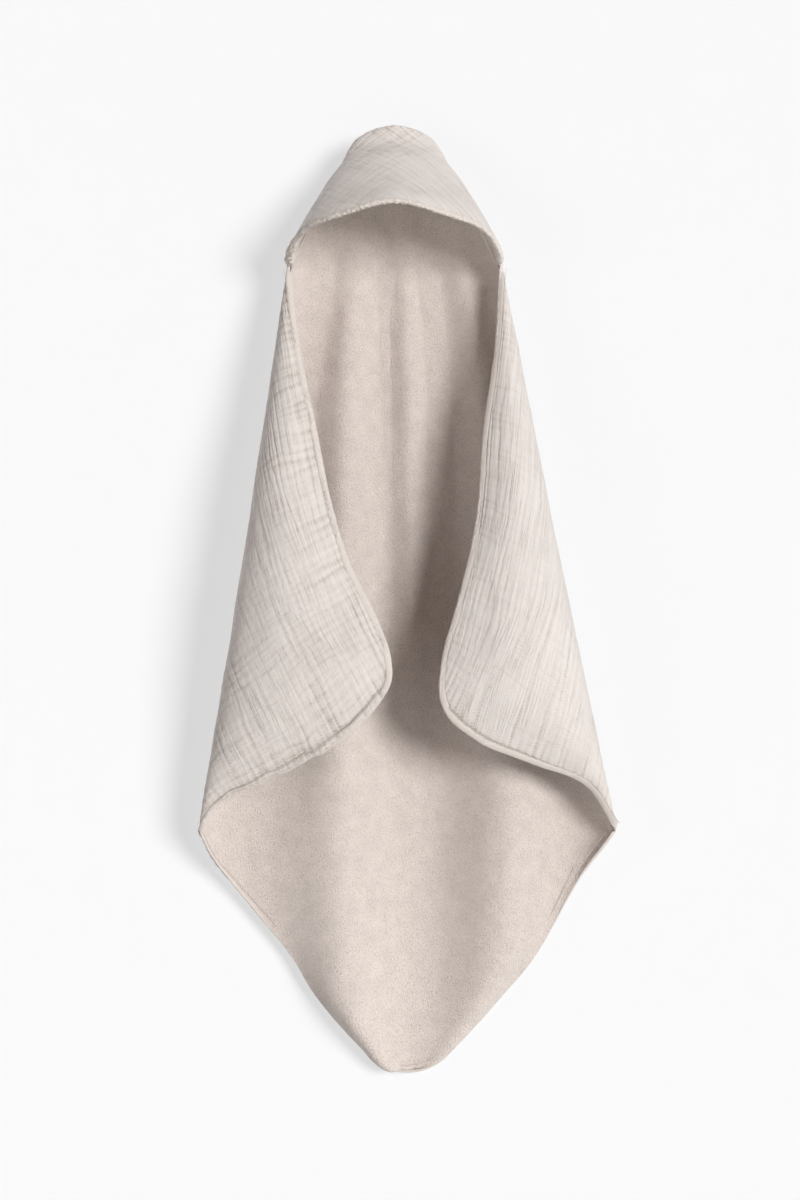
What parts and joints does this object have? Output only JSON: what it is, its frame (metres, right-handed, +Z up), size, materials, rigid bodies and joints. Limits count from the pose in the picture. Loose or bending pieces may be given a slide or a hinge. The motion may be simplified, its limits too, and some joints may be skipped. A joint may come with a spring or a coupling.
{
  "type": "hooded baby towel",
  "caption": "Square hooded baby towel hung from its hood's corner: crinkled muslin outside, terry inside, bound edges, both side corners folded forward.",
  "frame": {"origin": "the hook point: inside the top of the hanging loop, behind the hood", "axes": "+Z up, +Y towards the wall that the towel's back rests on, +X to the right as seen from the front"},
  "size_m": [0.4606, 0.1475, 1.0603],
  "materials": {
    "muslin": "matte",
    "terry": "matte",
    "binding": "matte",
    "terry_roll": "matte",
    "thread": "satin",
    "tape": "matte",
    "label": "satin"
  },
  "bodies": {
    "towel": {"muslin_back": "muslin", "terry_back": "terry", "hood_outer": "muslin", "hood_lining": "terry", "hood_front_roll": "terry_roll", "hood_seam": "binding", "seam_tape_left": "tape", "seam_tape_right": "tape", "binding_lower": "binding", "stitching_lower": "thread", "loop_tack_left": "thread", "loop_tack_right": "thread", "label_stitching": "thread"},
    "left_flap": {"muslin_left_flap": "muslin", "terry_left_flap": "terry", "binding_left_flap": "binding", "stitching_left_flap": "thread"},
    "right_flap": {"muslin_right_flap": "muslin", "terry_right_flap": "terry", "binding_right_flap": "binding", "stitching_right_flap": "thread"},
    "loop": {"hanging_loop": "binding"},
    "label": {"care_label": "label"}
  },
  "joints": [
    {"name": "left_fold", "type": "hinge", "parent": "towel", "child": "left_flap", "pos_m": [-0.19487, -0.0292, -0.45799], "axis": [-0.155, -0.0077, -0.9879], "range_deg": [0, 150]},
    {"name": "right_fold", "type": "hinge", "parent": "towel", "child": "right_flap", "pos_m": [0.19737, -0.0292, -0.45799], "axis": [-0.1984, 0.0077, 0.9801], "range_deg": [0, 150]},
    {"name": "loop_seam", "type": "hinge", "parent": "towel", "child": "loop", "pos_m": [0, 0, -0.036], "axis": [-1, 0, 0], "range_deg": [0, 140], "stiffness_Nm_per_rad": 0.002},
    {"name": "label_seam", "type": "hinge", "parent": "towel", "child": "label", "pos_m": [-0.032, -0.0008, -0.05], "axis": [1, 0, 0], "range_deg": [0, 90]}
  ]
}
